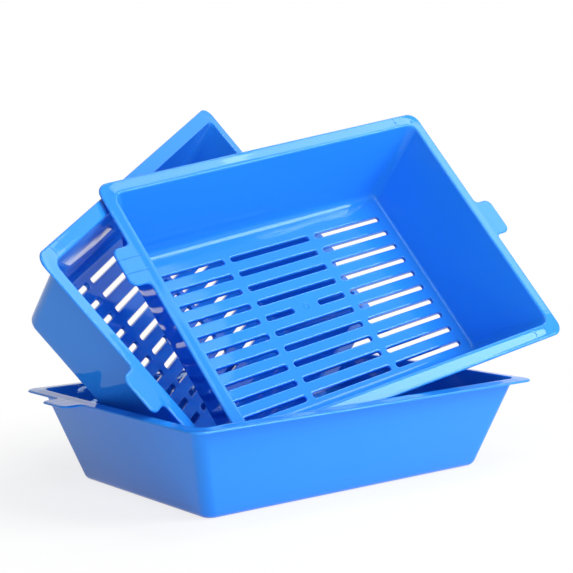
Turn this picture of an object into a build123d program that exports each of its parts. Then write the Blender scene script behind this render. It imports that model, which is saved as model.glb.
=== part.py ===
from build123d import *
import math
import os

# Tray outline, measured over the rim, which stands level at the tray's full height
length = 420.0
width = 304.0
height = 91.0
wall = 2.0
end_flange = 13.0
side_flange = 15.2
end_draft = 18.0  # degrees that the walls lean out of upright, so that the trays nest
side_draft = 18.0

# Corners of the rim and the tub, and the rounding between the walls and the floor
rim_corner = 13.0
tub_corner = 12.0
foot_round = 8.0
rim_ease = 0.8

# Lip turned down along the edge of the rim
lip_depth = 3.0
lip_wall = 1.6

# Finger tabs, one in the middle of an end and one off the middle of the other
tab_width = 44.0
tab_reach = 20.0
tab_offset = 58.0
tab_corner = 8.0
tab_root = 5.0

# Sifting slots: rows of three, laid half a row off the middle of the floor as a whole,
# so that a tray turned end for end closes the slots of the tray that it nests in. The row
# through the middle leaves a plain place there, where the plastic was fed into the mould.
slot_width = 6.2
slot_ease = 0.7
middle_slot = 105.6
column_gap = 8.9
gate_half_gap = 16.5
rows_behind = 4
rows_ahead = 5

# Plain strips of floor between the slots and the rounding at the foot of the walls
end_strip = 7.4
side_strip = 5.4

# How the two upper trays lean in the lower one, in degrees: the turn of a tray's long side
# over the ground, its climb, and the roll of the tray about it
rear_turn_angle = 32.7
rear_climb_angle = 19.3
rear_roll_angle = 55.5
front_turn_angle = -0.6
front_climb_angle = 9.7
front_roll_angle = 51.5
rear_shift_share = -0.132  # of the length, from the middle of the lower tray
seat_gap = 0.3

# Sizes that follow
open_length = length - 2 * end_flange
open_width = width - 2 * side_flange
tub_length = open_length + 2 * wall
tub_width = open_width + 2 * wall
end_run = math.tan(math.radians(end_draft))
side_run = math.tan(math.radians(side_draft))
foot_length = tub_length - 2 * height * end_run
foot_width = tub_width - 2 * height * side_run
floor_length = open_length - 2 * (height - wall) * end_run
floor_width = open_width - 2 * (height - wall) * side_run
inner_round = foot_round - wall


def sunk(radius, draft):
    """How far the middle of a rounding lies inside a corner between a level and a drafted face."""
    return radius / math.tan(math.radians(90 + draft) / 2)


flat_half_length = floor_length / 2 - sunk(inner_round, end_draft)
flat_half_width = floor_width / 2 - sunk(inner_round, side_draft)
outer_slot = flat_half_length - end_strip - column_gap - middle_slot / 2
row_pitch = (flat_half_width - side_strip - slot_width / 2) / rows_ahead


def tapered_tub(foot_x, foot_y, mouth_x, mouth_y, depth):
    """Add a block that widens evenly from its foot to its mouth."""
    Wedge(mouth_x, depth, mouth_y, (mouth_x - foot_x) / 2, (mouth_y - foot_y) / 2,
          (mouth_x + foot_x) / 2, (mouth_y + foot_y) / 2, rotation=(-90, 0, 0),
          align=(Align.CENTER, Align.MAX, Align.CENTER))


# Space inside the tub, which tapers to the floor and is rounded there
with BuildPart(Plane.XY.offset(wall)) as hollow:
    tapered_tub(floor_length, floor_width, open_length, open_width, height - wall)
    fillet(hollow.edges().filter_by(lambda e: e.bounding_box().size.Z > wall), tub_corner - wall)
    fillet(hollow.faces().sort_by(Axis.Z)[0].edges(), inner_round)

# One tray as it comes from the mould, which serves for all three
with BuildPart() as moulding:
    # Tapered tub, rounded where the walls meet the floor
    tapered_tub(foot_length, foot_width, tub_length, tub_width, height)
    fillet(moulding.edges().filter_by(lambda e: e.bounding_box().size.Z > wall), tub_corner)
    fillet(moulding.faces().sort_by(Axis.Z)[0].edges(), foot_round)

    # Flat rim, with a finger tab on each end
    with BuildSketch(Plane.XY.offset(height)) as rim:
        RectangleRounded(length, width, rim_corner)
        with Locations((-length / 2, tab_offset), (length / 2, 0)):
            Rectangle(2 * tab_reach, tab_width)
        ends = rim.vertices().group_by(Axis.X)
        fillet(ends[0] + ends[-1], tab_corner)
        roots = rim.vertices().filter_by(
            lambda v: abs(abs(v.X) - length / 2) < wall and abs(v.Y) < tab_offset + tab_width)
        fillet(roots, tab_root)
    extrude(amount=-wall)

    # Lip that turns down all the way round the rim and its tabs
    with BuildSketch(Plane.XY.offset(height)):
        add(rim.sketch)
        offset(amount=-lip_wall, mode=Mode.SUBTRACT)
    extrude(amount=-lip_depth)

    # Open tub, with the upper edge of the rim eased
    add(hollow.part, mode=Mode.SUBTRACT)
    chamfer(moulding.faces().sort_by(Axis.Z)[-1].outer_wire().edges(), rim_ease)

    # Slots through the floor, with half an octagon for each end and their upper edges eased
    middle_end = middle_slot / 2
    outer_middle = middle_end + column_gap + outer_slot / 2
    short_slot = middle_end - gate_half_gap
    short_middle = gate_half_gap + short_slot / 2
    octagon_cut_share = 1 - math.tan(math.radians(45) / 2)
    slots = []
    for row in range(-rows_ahead, rows_behind + 1):
        y = row * row_pitch
        slots += [(-outer_middle, y, outer_slot), (outer_middle, y, outer_slot)]
        if row == 0:
            slots += [(-short_middle, y, short_slot), (short_middle, y, short_slot)]
        else:
            slots += [(0, y, middle_slot)]
    for spread, depth, taper in ((0, wall, 0), (slot_ease, slot_ease, 45)):
        with BuildSketch(Plane.XY.offset(wall)) as outlines:
            for x, y, slot_length in slots:
                with Locations((x, y)):
                    Rectangle(slot_length + 2 * spread, slot_width + 2 * spread)
            chamfer(outlines.vertices(), octagon_cut_share * (slot_width / 2 + spread))
        extrude(amount=-depth, taper=taper, mode=Mode.SUBTRACT)


def leaning(turn_angle, climb_angle, roll_angle):
    """Frame of a leaning tray: X along its length, Z out of its mouth."""
    turn, rise = math.radians(turn_angle), math.radians(climb_angle)
    along = Vector(math.cos(turn) * math.cos(rise), math.sin(turn) * math.cos(rise), math.sin(rise))
    upright = along.cross(Vector(0, 0, 1).cross(along))
    return Plane(origin=(0, 0, 0), x_dir=along, z_dir=upright.rotate(Axis((0, 0, 0), along), roll_angle))


def reach(frame, direction):
    """How far a tray with its origin at zero reaches in a direction."""
    facing = Plane(origin=(0, 0, 0), z_dir=direction)
    return (facing.location.inverse() * frame.location * moulding.part).bounding_box().max.Z


def outward(first, second, like):
    """Direction square to two edges that cross, on the side of a third direction."""
    square = first.cross(second).normalized()
    return square if square.dot(like) > 0 else square * -1


# Lines that the trays touch along, in a tray's own frame: the middle of the rounding of its
# long foot edge, its two long mouth edges, and the middle of the rounding of its tub corner
foot_line = Vector(0, sunk(foot_round, side_draft) - foot_width / 2, foot_round)
low_mouth = Vector(0, -open_width / 2, height)
high_mouth = Vector(0, open_width / 2, height)
corner_in_x = tub_corner / math.cos(math.radians(end_draft))
corner_in_y = tub_corner / math.cos(math.radians(side_draft))
corner_foot = Vector(corner_in_x - foot_length / 2, foot_width / 2 - corner_in_y, 0)
corner_top = Vector(corner_in_x - tub_length / 2, tub_width / 2 - corner_in_y, height)
down = Vector(0, 0, -1)

# Rear tray, turned end for end: it stands on the floor of the lower tray, against the front
# wall or the rounding at its foot, and its long foot edge lies on the rear mouth edge
rear_frame = leaning(rear_turn_angle, rear_climb_angle, rear_roll_angle)
rear_turned = Plane(origin=(0, 0, 0), x_dir=-rear_frame.x_dir, z_dir=rear_frame.z_dir)
over_rim = outward(rear_frame.x_dir, Vector(1, 0, 0), down)
rim_stop = (over_rim.dot(high_mouth - rear_frame.from_local_coords(foot_line))
            - foot_round - seat_gap)
round_line = Vector(0, -flat_half_width, wall + inner_round)
round_steps = 6
front_stops = []
for step in range(round_steps):
    tilt = math.radians(side_draft + (90 - side_draft) * step / round_steps)
    to_front = Vector(0, -math.cos(tilt), -math.sin(tilt))
    room = to_front.dot(round_line) + inner_round - seat_gap - reach(rear_turned, to_front)
    front_stops.append((to_front, room))
rear_z = wall + seat_gap + reach(rear_turned, down)
for to_front, room in front_stops:
    cross = to_front.Y * over_rim.Z - to_front.Z * over_rim.Y
    rear_z = max(rear_z, (to_front.Y * rim_stop - over_rim.Y * room) / cross)
rear_y = max((room - to_front.Z * rear_z) / to_front.Y for to_front, room in front_stops)
rear_spot = Vector(rear_shift_share * length, rear_y, rear_z)

# Front tray: its rim corner leans on the front wall of the lower tray, its long foot edge
# lies on the low mouth edge of the rear tray, and its tub corner on the high one
front_frame = leaning(front_turn_angle, front_climb_angle, front_roll_angle)
to_wall = Vector(0, -math.cos(math.radians(side_draft)), -math.sin(math.radians(side_draft)))
wall_stop = to_wall.dot(Vector(0, -open_width / 2, height)) - seat_gap - reach(front_frame, to_wall)
over_low = outward(front_frame.x_dir, rear_frame.x_dir, down)
low_stop = (over_low.dot(rear_spot + rear_frame.from_local_coords(low_mouth)
                         - front_frame.from_local_coords(foot_line)) - foot_round - seat_gap)
corner_way = front_frame.from_local_coords(corner_top) - front_frame.from_local_coords(corner_foot)
to_high = outward(corner_way, rear_frame.x_dir, Vector(0, 1, 0))
high_stop = (to_high.dot(rear_spot + rear_frame.from_local_coords(high_mouth)
                         - front_frame.from_local_coords(corner_foot)) - tub_corner - seat_gap)
front_spot = (over_low.cross(to_high) * wall_stop + to_high.cross(to_wall) * low_stop
              + to_wall.cross(over_low) * high_stop) * (1 / to_wall.dot(over_low.cross(to_high)))

# The three trays: one level on the ground, two leaning in it
with BuildPart() as base_tray:
    add(moulding.part)
with BuildPart(Plane(origin=rear_spot, x_dir=rear_turned.x_dir, z_dir=rear_turned.z_dir)) as rear_tray:
    add(moulding.part)
with BuildPart(Plane(origin=front_spot, x_dir=front_frame.x_dir, z_dir=front_frame.z_dir)) as front_tray:
    add(moulding.part)

base_tray.part.label = "base_tray"
rear_tray.part.label = "rear_tray"
front_tray.part.label = "front_tray"

os.makedirs("parts", exist_ok=True)
export_step(base_tray.part, "parts/base_tray.step")
export_step(rear_tray.part, "parts/rear_tray.step")
export_step(front_tray.part, "parts/front_tray.step")
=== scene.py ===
import math

import bmesh
import bpy
from mathutils import Matrix, Vector
from mathutils.geometry import tessellate_polygon


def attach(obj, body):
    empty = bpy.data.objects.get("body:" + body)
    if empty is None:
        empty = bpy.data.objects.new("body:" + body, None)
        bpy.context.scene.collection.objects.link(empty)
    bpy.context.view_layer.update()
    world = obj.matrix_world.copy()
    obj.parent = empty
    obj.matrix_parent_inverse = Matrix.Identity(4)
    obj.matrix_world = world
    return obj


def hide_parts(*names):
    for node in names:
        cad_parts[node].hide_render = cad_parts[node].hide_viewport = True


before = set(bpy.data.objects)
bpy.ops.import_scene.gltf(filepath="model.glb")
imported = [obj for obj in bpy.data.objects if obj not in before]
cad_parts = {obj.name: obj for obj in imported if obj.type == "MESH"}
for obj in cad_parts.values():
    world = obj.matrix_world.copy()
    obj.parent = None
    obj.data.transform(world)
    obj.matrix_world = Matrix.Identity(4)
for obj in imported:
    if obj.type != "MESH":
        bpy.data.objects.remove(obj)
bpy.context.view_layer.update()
mm = 0.001


# The tub with its rim: the blank of a tray before its floor goes in. It is one thin
# polypropylene moulding, a drafted tub with a rim that falls a little outwards, a finger
# tab on each end and a lip turned down along the whole edge.
length, width, height, wall = 420 * mm, 304 * mm, 91 * mm, 2 * mm
end_flange, side_flange = 13 * mm, 15.2 * mm
draft = math.radians(18)
blend_tangent = math.tan((math.radians(90) + draft) / 2)
rim_corner, tub_corner = 13 * mm, 12 * mm
foot_round, mouth_round = 8 * mm, 2.2 * mm
rim_thick, rim_drop, side_slope, end_slope = 2.2 * mm, 0.9 * mm, 11.2 * mm, 9 * mm
edge_in, edge_down = 2.0 * mm, 1.6 * mm
lip_depth, lip_wall, lip_ease = 3 * mm, 1.6 * mm, 0.3 * mm
tab_width, tab_reach, tab_offset = 44 * mm, 20 * mm, 58 * mm
tab_corner, tab_root = 8 * mm, 5 * mm
corner_steps, round_steps, wall_steps, slope_steps = 12, 6, 7, 4
least_corner = 0.2 * mm
weld = 0.005 * mm


def tub_loop(inset, z, radius, further=0):
    """Points of a rounded rectangle of the tub, inset from the outside of its mouth, and
    reaching further at its ends."""
    half_x = length / 2 - end_flange + wall - inset + further
    half_y = width / 2 - side_flange + wall - inset
    radius = max(radius, least_corner)
    points = []
    for quarter, (sx, sy) in enumerate(((1, 1), (-1, 1), (-1, -1), (1, -1))):
        for step in range(corner_steps + 1):
            angle = math.radians(90) * (quarter + step / corner_steps)
            points.append(Vector((sx * (half_x - radius) + radius * math.cos(angle),
                                  sy * (half_y - radius) + radius * math.sin(angle), z)))
    return points


def rim_loop(inset, z):
    """Points of the rim's outline with its two tabs, inset from the edge."""
    lx, ly, r = length / 2, width / 2, rim_corner
    tip, root, half = tab_corner, tab_root, tab_width / 2
    turns = [(lx - r, r - ly, r, 270, 90),
             (lx + root, -half - root, -root, 180, -90),
             (lx + tab_reach - tip, tip - half, tip, 270, 90),
             (lx + tab_reach - tip, half - tip, tip, 0, 90),
             (lx + root, half + root, -root, 270, -90),
             (lx - r, ly - r, r, 0, 90),
             (r - lx, ly - r, r, 90, 90),
             (-lx - root, tab_offset + half + root, -root, 0, -90),
             (tip - lx - tab_reach, tab_offset + half - tip, tip, 90, 90),
             (tip - lx - tab_reach, tab_offset - half + tip, tip, 180, 90),
             (-lx - root, tab_offset - half - root, -root, 90, -90),
             (r - lx, r - ly, r, 180, 90)]
    points = []
    for x, y, radius, start, sweep in turns:
        reach = radius - inset if radius > 0 else -radius + inset
        for step in range(corner_steps + 1):
            angle = math.radians(start + sweep * step / corner_steps)
            points.append(Vector((x + reach * math.cos(angle), y + reach * math.sin(angle), z)))
    return points


def rounding(radius, end_radius, base_inset, base_z, inner):
    """Loops of the rounding where the walls meet the floor, floor first: inset and height at
    the long walls, corner radius, and how much further the end walls reach."""
    sweep = math.radians(90) - draft
    stations = []
    for step in range(round_steps + 1):
        rise = radius * (1 - math.cos(sweep * step / round_steps))
        flush = base_inset - rise * math.tan(draft)
        insets = []
        for r in (radius, end_radius):
            on_wall = rise > r * (1 - math.cos(sweep))
            insets.append(flush if on_wall else base_inset
                          + r * (1 / blend_tangent - math.sin(math.acos(1 - rise / r))))
        side, end = insets
        corner = tub_corner - (wall if inner else 0) - (side - flush)
        stations.append((side, base_z + rise, corner, side - end))
    return stations


def skin(mesh, loops):
    """Four-sided faces between one loop of vertices and the next."""
    for low, high in zip(loops, loops[1:]):
        count = len(low)
        for i in range(count):
            j = (i + 1) % count
            mesh.faces.new((low[i], low[j], high[j], high[i])).smooth = True


def plate(mesh, outer, inner, upwards):
    """Flat faces between two loops that lie in one level plane."""
    verts = outer + inner
    for face in tessellate_polygon([[v.co for v in outer], [v.co for v in inner]]):
        a, b, c = (verts[i] for i in face)
        faces_up = (b.co - a.co).cross(c.co - a.co).z > 0
        mesh.faces.new((a, b, c) if faces_up == upwards else (a, c, b)).smooth = False


def tray_blank(floor_thick, side_round, end_round):
    """Tub, rim, tabs and lip, open where the slotted floor goes in."""
    blank = bmesh.new()

    def ring(points):
        return [blank.verts.new(p) for p in points]

    # Inside, from the floor up, over the mouth and out along the rim's upper side
    run = math.tan(draft)
    inner = rounding(side_round, end_round, wall + (height - floor_thick) * run, floor_thick, True)
    mouth_sunk = mouth_round / blend_tangent
    for step in range(1, wall_steps + 1):
        z = inner[-1][1] + (height - mouth_round - inner[-1][1]) * step / (wall_steps + 0.5)
        inner.append((wall + (height - z) * run, z, tub_corner - wall))
    for step in range(round_steps + 1):
        angle = (math.radians(90) - draft) * (1 - step / round_steps)
        inset = wall - mouth_sunk + mouth_round * math.sin(angle)
        z = height - mouth_round * (1 - math.cos(angle))
        inner.append((inset, z, tub_corner - inset))
    for step in range(1, slope_steps + 1):
        share = step / slope_steps
        inner.append((wall - mouth_sunk - side_slope * share, height - rim_drop * share,
                      tub_corner - wall + mouth_sunk + side_slope * share,
                      (end_slope - side_slope) * share))
    inside = [ring(tub_loop(*station)) for station in inner]
    skin(blank, inside[::-1])

    # Outside, from the foot up to the rim's underside
    outer = rounding(foot_round, foot_round, height * run, 0, False)
    for step in range(1, wall_steps + 1):
        z = outer[-1][1] + (height - rim_thick - outer[-1][1]) * step / wall_steps
        outer.append(((height - z) * run, z, tub_corner))
    outside = [ring(tub_loop(*station)) for station in outer]
    skin(blank, outside)

    # Edge of the rim and its lip, from the upper side round to the underside
    edge = []
    for step in range(round_steps + 1):
        angle = math.radians(90) * step / round_steps
        edge.append((edge_in * (1 - math.sin(angle)),
                     height - rim_drop - edge_down * (1 - math.cos(angle))))
    lip_foot = height - lip_depth
    edge += [(0, lip_foot + lip_ease), (lip_ease, lip_foot), (lip_wall - lip_ease, lip_foot),
             (lip_wall, lip_foot + lip_ease), (lip_wall, height - rim_thick)]
    rim = [ring(rim_loop(*station)) for station in edge]
    skin(blank, rim[::-1])
    plate(blank, rim[0], inside[-1], True)
    plate(blank, rim[-1], outside[-1], False)
    mesh = bpy.data.meshes.new("tray_blank")
    blank.to_mesh(mesh)
    blank.free()
    return mesh


# Camera: a lens of 90 mm at about 1.5 m, a little above the leaning trays' middle, which is
# where the photograph was taken from.
camera = bpy.data.cameras.new("camera")
camera.lens, camera.sensor_width = 89.665, 36
camera.clip_start, camera.clip_end = 0.05, 50
viewer = bpy.data.objects.new("camera", camera)
bpy.context.scene.collection.objects.link(viewer)
heading, tilt, roll = math.radians(38.0173), math.radians(5.5322), math.radians(-0.8091)
back = Vector((-math.sin(heading) * math.cos(tilt), -math.cos(heading) * math.cos(tilt),
               math.sin(tilt)))
level = (-back).cross(Vector((0, 0, 1))).normalized()
over = level.cross(-back)
right = level * math.cos(roll) + over * math.sin(roll)
up = over * math.cos(roll) - level * math.sin(roll)
viewer.matrix_world = Matrix.Translation((-0.87404, -1.12906, 0.32734)) @ Matrix(
    (right, up, back)).transposed().to_4x4()
bpy.context.scene.camera = viewer
bpy.context.scene.view_settings.view_transform = "Standard"


# The sifting floor: a flat floor with rows of three round-ended slots, well rounded on their
# upper edge, and two short ones beside the gate in the middle. It is part of the same
# moulding, and is fitted here to the open edges of the tub.
slot_width, slot_ease, ease_depth, slot_draft = 6.3 * mm, 1.9 * mm, 1.1 * mm, 0.8 * mm
slot_end_share, slot_end_steps, ease_steps = 0.45, 7, 6
row_pitch, row_shift = 19.15 * mm, 2.1 * mm
rows_behind, rows_ahead = 4, 5
middle_slot, outer_slot = 105.6 * mm, 94.6 * mm
column_gap, gate_half_gap = 8.9 * mm, 16.5 * mm
outer_middle = middle_slot / 2 + column_gap + outer_slot / 2
short_slot = middle_slot / 2 - gate_half_gap
short_middle = gate_half_gap + short_slot / 2


def sifting_floor(plastic):
    """Node tree that cuts the rows of slots and closes the tub with the floor around them."""
    tree = bpy.data.node_groups.new("sifting_floor", "GeometryNodeTree")
    tree.interface.new_socket("Geometry", in_out="INPUT", socket_type="NodeSocketGeometry")
    tree.interface.new_socket("Geometry", in_out="OUTPUT", socket_type="NodeSocketGeometry")
    for name in ("Floor", "Slot width", "Slot ease", "Ease depth", "Slot draft", "Row pitch",
                 "First row", "Outer slot", "Middle slot", "Short slot", "Outer place",
                 "Short place"):
        tree.interface.new_socket(name, in_out="INPUT", socket_type="NodeSocketFloat")
    tree.interface.new_socket("Rows", in_out="INPUT", socket_type="NodeSocketInt")
    tree.interface.new_socket("Gate row", in_out="INPUT", socket_type="NodeSocketInt")
    nodes, links = tree.nodes, tree.links

    def node(kind, **settings):
        made = nodes.new(kind)
        for key, value in settings.items():
            setattr(made, key, value)
        return made

    def feed(socket, value):
        if isinstance(value, bpy.types.NodeSocket):
            links.new(value, socket)
        else:
            socket.default_value = value

    def worked_out(operation, first, second):
        made = node("ShaderNodeMath", operation=operation)
        feed(made.inputs[0], first)
        feed(made.inputs[1], second)
        return made.outputs[0]

    def point(x=0.0, y=0.0, z=0.0):
        made = node("ShaderNodeCombineXYZ")
        for socket, value in zip(made.inputs, (x, y, z)):
            feed(socket, value)
        return made.outputs[0]

    given = node("NodeGroupInput").outputs
    rows = node("GeometryNodeMeshLine", mode="OFFSET")
    feed(rows.inputs["Count"], given["Rows"])
    feed(rows.inputs["Start Location"], point(y=given["First row"]))
    feed(rows.inputs["Offset"], point(y=given["Row pitch"]))
    index = node("GeometryNodeInputIndex").outputs[0]
    at_gate = node("FunctionNodeCompare", data_type="INT", operation="EQUAL")
    feed(at_gate.inputs[2], index)
    feed(at_gate.inputs[3], given["Gate row"])
    off_gate = node("FunctionNodeBooleanMath", operation="NOT")
    feed(off_gate.inputs[0], at_gate.outputs[0])

    slots = node("GeometryNodeJoinGeometry")
    outer_mirrored = worked_out("MULTIPLY", given["Outer place"], -1.0)
    short_mirrored = worked_out("MULTIPLY", given["Short place"], -1.0)
    for slot_length, place, chosen in (
            (given["Outer slot"], given["Outer place"], None),
            (given["Outer slot"], outer_mirrored, None),
            (given["Middle slot"], 0.0, off_gate.outputs[0]),
            (given["Short slot"], given["Short place"], at_gate.outputs[0]),
            (given["Short slot"], short_mirrored, at_gate.outputs[0])):
        outline = node("GeometryNodeCurvePrimitiveQuadrilateral")
        feed(outline.inputs["Width"], slot_length)
        feed(outline.inputs["Height"], given["Slot width"])
        ends = node("GeometryNodeFilletCurve", mode="POLY")
        feed(ends.inputs["Curve"], outline.outputs[0])
        feed(ends.inputs["Count"], slot_end_steps)
        feed(ends.inputs["Radius"], worked_out("MULTIPLY", given["Slot width"], slot_end_share))
        moved = node("GeometryNodeTransform")
        feed(moved.inputs["Geometry"], ends.outputs[0])
        feed(moved.inputs["Translation"], point(x=place))
        laid = node("GeometryNodeInstanceOnPoints")
        feed(laid.inputs["Points"], rows.outputs[0])
        feed(laid.inputs["Instance"], moved.outputs[0])
        if chosen is not None:
            feed(laid.inputs["Selection"], chosen)
        links.new(laid.outputs[0], slots.inputs[0])
    real = node("GeometryNodeRealizeInstances")
    feed(real.inputs[0], slots.outputs[0])

    # Wall of each slot: it widens from the underside up, and is eased outwards at the top
    straight_top = worked_out("SUBTRACT", given["Floor"], given["Ease depth"])
    straight = node("GeometryNodeCurvePrimitiveLine")
    feed(straight.inputs["Start"], point(x=worked_out("MULTIPLY", given["Slot draft"], -1.0)))
    feed(straight.inputs["End"], point(y=straight_top))
    ease = node("GeometryNodeCurveQuadraticBezier")
    feed(ease.inputs["Resolution"], ease_steps)
    feed(ease.inputs["Start"], point(y=straight_top))
    feed(ease.inputs["Middle"], point(y=given["Floor"]))
    feed(ease.inputs["End"], point(x=given["Slot ease"], y=given["Floor"]))
    profile = node("GeometryNodeJoinGeometry")
    links.new(straight.outputs[0], profile.inputs[0])
    links.new(ease.outputs[0], profile.inputs[0])
    upright = node("GeometryNodeTransform")
    feed(upright.inputs["Geometry"], profile.outputs[0])
    feed(upright.inputs["Scale"], (1, -1, 1))
    sleeves = node("GeometryNodeCurveToMesh")
    feed(sleeves.inputs["Curve"], real.outputs[0])
    feed(sleeves.inputs["Profile Curve"], upright.outputs[0])
    rounded = node("GeometryNodeSetShadeSmooth")
    feed(rounded.inputs["Geometry"], sleeves.outputs[0])
    body = node("GeometryNodeJoinGeometry")
    links.new(given["Geometry"], body.inputs[0])
    links.new(rounded.outputs[0], body.inputs[0])
    welded = node("GeometryNodeMergeByDistance")
    feed(welded.inputs["Geometry"], body.outputs[0])
    feed(welded.inputs["Distance"], weld)

    # Floor: level faces between the open edges of the tub and the slots, above and below
    edges = node("GeometryNodeInputMeshEdgeNeighbors")
    open_edge = node("FunctionNodeCompare", data_type="INT", operation="EQUAL")
    feed(open_edge.inputs[2], edges.outputs[0])
    feed(open_edge.inputs[3], 1)
    place = node("ShaderNodeSeparateXYZ")
    feed(place.inputs[0], node("GeometryNodeInputPosition").outputs[0])
    halfway = worked_out("MULTIPLY", given["Floor"], 0.5)
    closed = node("GeometryNodeJoinGeometry")
    links.new(welded.outputs[0], closed.inputs[0])
    for upper in (True, False):
        side = node("FunctionNodeCompare", data_type="FLOAT",
                    operation="GREATER_THAN" if upper else "LESS_THAN")
        feed(side.inputs[0], place.outputs[2])
        feed(side.inputs[1], halfway)
        both = node("FunctionNodeBooleanMath", operation="AND")
        feed(both.inputs[0], open_edge.outputs[0])
        feed(both.inputs[1], side.outputs[0])
        border = node("GeometryNodeMeshToCurve")
        feed(border.inputs["Mesh"], welded.outputs[0])
        feed(border.inputs["Selection"], both.outputs[0])
        filled = node("GeometryNodeFillCurve", mode="TRIANGLES")
        feed(filled.inputs["Curve"], border.outputs[0])
        flat = node("GeometryNodeSetShadeSmooth")
        feed(flat.inputs["Geometry"], filled.outputs[0])
        feed(flat.inputs["Shade Smooth"], False)
        shifted = node("GeometryNodeTransform")
        feed(shifted.inputs["Geometry"], flat.outputs[0])
        feed(shifted.inputs["Translation"], point(z=given["Floor"] if upper else 0.0))
        last = shifted
        if not upper:
            last = node("GeometryNodeFlipFaces")
            feed(last.inputs["Mesh"], shifted.outputs[0])
        links.new(last.outputs[0], closed.inputs[0])
    whole = node("GeometryNodeMergeByDistance")
    feed(whole.inputs["Geometry"], closed.outputs[0])
    feed(whole.inputs["Distance"], weld)
    own = node("GeometryNodeStoreNamedAttribute", data_type="FLOAT_VECTOR", domain="POINT")
    feed(own.inputs["Geometry"], whole.outputs[0])
    feed(own.inputs["Name"], "tray_place")
    feed(own.inputs["Value"], node("GeometryNodeInputPosition").outputs[0])
    finish = node("GeometryNodeSetMaterial")
    feed(finish.inputs["Geometry"], own.outputs[0])
    feed(finish.inputs["Material"], plastic)
    links.new(finish.outputs[0], node("NodeGroupOutput").inputs[0])
    return tree


# The plastic: glossy bright blue polypropylene, moulded on a polished tool. The walls are
# slightly wavy from shrinkage and faintly streaked by the flow, the gate has left a round
# mark in the floor, and fine lines cross the rim where the tool is pieced together.
streak_depth, wave_depth, mark_depth = 0.05 * mm, 0.5 * mm, 0.8 * mm
gate_inside, gate_outside, line_half_width = 3.0 * mm, 4.2 * mm, 0.7 * mm
tab_from, rim_from = 203 * mm, 138 * mm
least_rough, most_rough = 0.02, 0.07


def blue_plastic():
    """Material of all three trays."""
    plastic = bpy.data.materials.new("blue_polypropylene")
    plastic.use_nodes = True
    nodes, links = plastic.node_tree.nodes, plastic.node_tree.links
    shader = nodes["Principled BSDF"]
    shader.inputs["Base Color"].default_value = (0.022, 0.262, 0.890, 1)
    shader.inputs["Specular IOR Level"].default_value = 0.38
    shader.inputs["Specular Tint"].default_value = (0.58, 0.84, 1, 1)
    world_place = nodes.new("ShaderNodeTexCoord").outputs["Object"]
    stored = nodes.new("ShaderNodeAttribute")
    stored.attribute_name = "tray_place"
    tray_place = stored.outputs["Vector"]

    def noise(place, scale, detail):
        made = nodes.new("ShaderNodeTexNoise")
        made.inputs["Scale"].default_value = scale
        made.inputs["Detail"].default_value = detail
        links.new(place, made.inputs["Vector"])
        return made.outputs["Fac"]

    def shifted(value, low, high, start, end):
        made = nodes.new("ShaderNodeMapRange")
        made.inputs["From Min"].default_value = low
        made.inputs["From Max"].default_value = high
        made.inputs["To Min"].default_value = start
        made.inputs["To Max"].default_value = end
        links.new(value, made.inputs["Value"])
        return made.outputs["Result"]

    def reckoned(operation, first, second):
        made = nodes.new("ShaderNodeMath")
        made.operation = operation
        for socket, value in zip(made.inputs, (first, second)):
            if isinstance(value, bpy.types.NodeSocket):
                links.new(value, socket)
            else:
                socket.default_value = value
        return made.outputs[0]

    def raised(height_map, distance, under=None):
        made = nodes.new("ShaderNodeBump")
        made.inputs["Distance"].default_value = distance
        links.new(height_map, made.inputs["Height"])
        if under is not None:
            links.new(under, made.inputs["Normal"])
        return made.outputs["Normal"]

    uneven = shifted(noise(world_place, 26, 4), 0, 1, least_rough, most_rough)
    links.new(uneven, shader.inputs["Roughness"])
    stretched = nodes.new("ShaderNodeMapping")
    stretched.inputs["Scale"].default_value = (4, 150, 150)
    links.new(tray_place, stretched.inputs["Vector"])
    streaked = raised(noise(stretched.outputs["Vector"], 1, 2), streak_depth)
    wavy = raised(noise(world_place, 14, 1), wave_depth, streaked)

    from_gate = nodes.new("ShaderNodeVectorMath")
    from_gate.operation = "DISTANCE"
    links.new(tray_place, from_gate.inputs[0])
    from_gate.inputs[1].default_value = (0, row_shift, wall)
    marks = shifted(from_gate.outputs["Value"], gate_inside, gate_outside, -1, 0)

    # Fine lines: two run out along a tab, and three cross the long sides near one end
    split = nodes.new("ShaderNodeSeparateXYZ")
    links.new(tray_place, split.inputs[0])
    x, y = split.outputs[0], split.outputs[1]
    for across, spot, beside, side, edge in (
            (y, 66 * mm, x, "LESS_THAN", -tab_from), (y, 50 * mm, x, "LESS_THAN", -tab_from),
            (x, 175 * mm, y, "GREATER_THAN", rim_from), (x, 171 * mm, y, "LESS_THAN", -rim_from),
            (x, 186 * mm, y, "LESS_THAN", -rim_from)):
        from_line = reckoned("ABSOLUTE", reckoned("SUBTRACT", across, spot), 0)
        line = reckoned("MULTIPLY", shifted(from_line, 0, line_half_width, -0.5, 0),
                        reckoned(side, beside, edge))
        marks = reckoned("ADD", marks, line)
    links.new(raised(marks, mark_depth, wavy), shader.inputs["Normal"])
    return plastic


# The three trays: alike mouldings, one level on the ground and two leaning in it, the rear
# one turned end for end. They lie loose on each other. The floor of the two upper ones is
# drawn thicker, as deep as the sides of their slots look, with the roundings seen around it.
level_tray = (2 * mm, 6 * mm, 6 * mm)  # floor, rounding at the long walls and the end walls
leaning_tray = (3.7 * mm, 10.5 * mm, 3 * mm)


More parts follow.
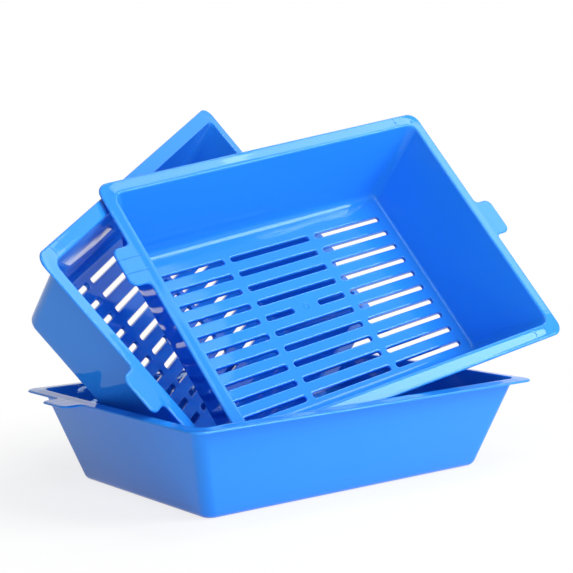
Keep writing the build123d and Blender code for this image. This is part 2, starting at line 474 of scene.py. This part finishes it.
def finished_tray(floor_tree, floor_thick, side_round, end_round):
    """One tray as it comes from the mould, as a plain mesh in its own frame."""
    blank = bpy.data.objects.new("tray_blank", tray_blank(floor_thick, side_round, end_round))
    bpy.context.scene.collection.objects.link(blank)
    floor = blank.modifiers.new("sifting_floor", "NODES")
    floor.node_group = floor_tree
    sizes = {"Floor": floor_thick, "Slot width": slot_width, "Slot ease": slot_ease,
             "Ease depth": ease_depth, "Slot draft": slot_draft, "Row pitch": row_pitch,
             "First row": row_shift - rows_ahead * row_pitch, "Outer slot": outer_slot,
             "Middle slot": middle_slot, "Short slot": short_slot, "Outer place": outer_middle,
             "Short place": short_middle, "Rows": rows_ahead + rows_behind + 1,
             "Gate row": rows_ahead}
    for socket in floor_tree.interface.items_tree:
        if socket.in_out == "INPUT" and socket.name in sizes:
            floor[socket.identifier] = sizes[socket.name]
    seen = bpy.context.evaluated_depsgraph_get()
    mesh = bpy.data.meshes.new_from_object(blank.evaluated_get(seen), depsgraph=seen)
    bpy.data.objects.remove(blank)
    return mesh


def leaning(turn, climb, lean, end_for_end, spot):
    """Place of a tray: the turn and climb of its long side, and its roll about it."""
    turn, climb = math.radians(turn), math.radians(climb)
    along = Vector((math.cos(turn) * math.cos(climb), math.sin(turn) * math.cos(climb),
                    math.sin(climb)))
    mouth = along.cross(Vector((0, 0, 1)).cross(along)).normalized()
    mouth.rotate(Matrix.Rotation(math.radians(lean), 3, along))
    if end_for_end:
        along = -along
    axes = Matrix((along, mouth.cross(along), mouth)).transposed()
    return Matrix.Translation(spot) @ axes.to_4x4()


floor_tree = sifting_floor(blue_plastic())
trays = {
    "base": (level_tray, Matrix()),
    "rear": (leaning_tray, leaning(32.7, 19.3, 55.5, True, (-0.05544, 0.11835, 0.139557))),
    "front": (leaning_tray, leaning(-0.6, 9.7, 51.5, False, (0.062441, 0.036074, 0.157594)))}
for body, ((floor_thick, side_round, end_round), place) in trays.items():
    mesh = finished_tray(floor_tree, floor_thick, side_round, end_round)
    mesh.transform(place)
    tray = bpy.data.objects.new(body + "_tray_moulding", mesh)
    bpy.context.scene.collection.objects.link(tray)
    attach(tray, body)
    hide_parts(body + "_tray")


# Studio: a plain white floor under soft round lamps. Away from the object the floor and the
# room are seen as even white, and near it the floor carries the shadow.
lamp_aim = Vector((0, 0, 0.15))
room_light, floor_reach = 0.24, 12
fade_start, fade_end, least_white = 0.22, 0.50, 0.8


def soft_lamp(name, spot, size, power):
    """Round area lamp that faces the trays."""
    light = bpy.data.lights.new(name, "AREA")
    light.shape, light.size, light.energy = "DISK", size, power
    lamp = bpy.data.objects.new(name, light)
    lamp.location = spot
    lamp.rotation_euler = (lamp_aim - Vector(spot)).to_track_quat("-Z", "Y").to_euler()
    bpy.context.scene.collection.objects.link(lamp)


soft_lamp("key", (1.42, -1.98, 1.66), 1.5, 58)
soft_lamp("high", (-0.9, -1.2, 2.2), 0.8, 9)
soft_lamp("low", (-0.4, -2.2, 0.5), 1.2, 13)
soft_lamp("side", (1.70, -0.48, 1.80), 0.8, 5)
soft_lamp("overhead_right", (1.15, -0.18, 2.10), 0.64, 5)
soft_lamp("overhead_middle", (0.62, -0.20, 2.28), 0.64, 5)
soft_lamp("overhead_left", (0.55, -0.90, 2.00), 0.60, 2.2)


def seen_directly(nodes, links):
    """One for what the camera sees, also by a reflection or through a gap."""
    path = nodes.new("ShaderNodeLightPath")
    total = path.outputs["Is Camera Ray"]
    for ray in ("Is Glossy Ray", "Is Transmission Ray"):
        either = nodes.new("ShaderNodeMath")
        either.operation, either.use_clamp = "ADD", True
        links.new(total, either.inputs[0])
        links.new(path.outputs[ray], either.inputs[1])
        total = either.outputs[0]
    return total


world = bpy.data.worlds.new("studio")
world.use_nodes = True
bpy.context.scene.world = world
nodes, links = world.node_tree.nodes, world.node_tree.links
room = nodes["Background"]
room.inputs["Color"].default_value = (1, 1, 1, 1)
room.inputs["Strength"].default_value = room_light
backdrop = nodes.new("ShaderNodeBackground")
backdrop.inputs["Color"].default_value = (1, 1, 1, 1)
choice = nodes.new("ShaderNodeMixShader")
links.new(seen_directly(nodes, links), choice.inputs["Fac"])
links.new(room.outputs[0], choice.inputs[1])
links.new(backdrop.outputs[0], choice.inputs[2])
links.new(choice.outputs[0], nodes["World Output"].inputs["Surface"])

paper = bpy.data.materials.new("white_paper")
paper.use_nodes = True
nodes, links = paper.node_tree.nodes, paper.node_tree.links
shader = nodes["Principled BSDF"]
shader.inputs["Base Color"].default_value = (0.97, 0.97, 0.97, 1)
shader.inputs["Roughness"].default_value = 0.9
shader.inputs["Specular IOR Level"].default_value = 0.0
white = nodes.new("ShaderNodeEmission")
white.inputs["Color"].default_value = (1, 1, 1, 1)
floor_place = nodes.new("ShaderNodeTexCoord")
away = nodes.new("ShaderNodeVectorMath")
away.operation = "LENGTH"
links.new(floor_place.outputs["Object"], away.inputs[0])
fade = nodes.new("ShaderNodeMapRange")
fade.interpolation_type = "SMOOTHSTEP"
fade.inputs["From Min"].default_value = fade_start
fade.inputs["From Max"].default_value = fade_end
fade.inputs["To Min"].default_value = least_white
links.new(away.outputs["Value"], fade.inputs["Value"])
both = nodes.new("ShaderNodeMath")
both.operation = "MULTIPLY"
links.new(fade.outputs["Result"], both.inputs[0])
links.new(seen_directly(nodes, links), both.inputs[1])
blend = nodes.new("ShaderNodeMixShader")
links.new(both.outputs[0], blend.inputs["Fac"])
links.new(shader.outputs[0], blend.inputs[1])
links.new(white.outputs[0], blend.inputs[2])
links.new(blend.outputs[0], nodes["Material Output"].inputs["Surface"])
floor_mesh = bpy.data.meshes.new("studio_floor")
floor_mesh.from_pydata(
    [(-floor_reach, -floor_reach, 0), (floor_reach, -floor_reach, 0),
     (floor_reach, floor_reach, 0), (-floor_reach, floor_reach, 0)],
    [], [(0, 1, 2, 3)])
floor_mesh.materials.append(paper)
studio_floor = bpy.data.objects.new("studio_floor", floor_mesh)
bpy.context.scene.collection.objects.link(studio_floor)
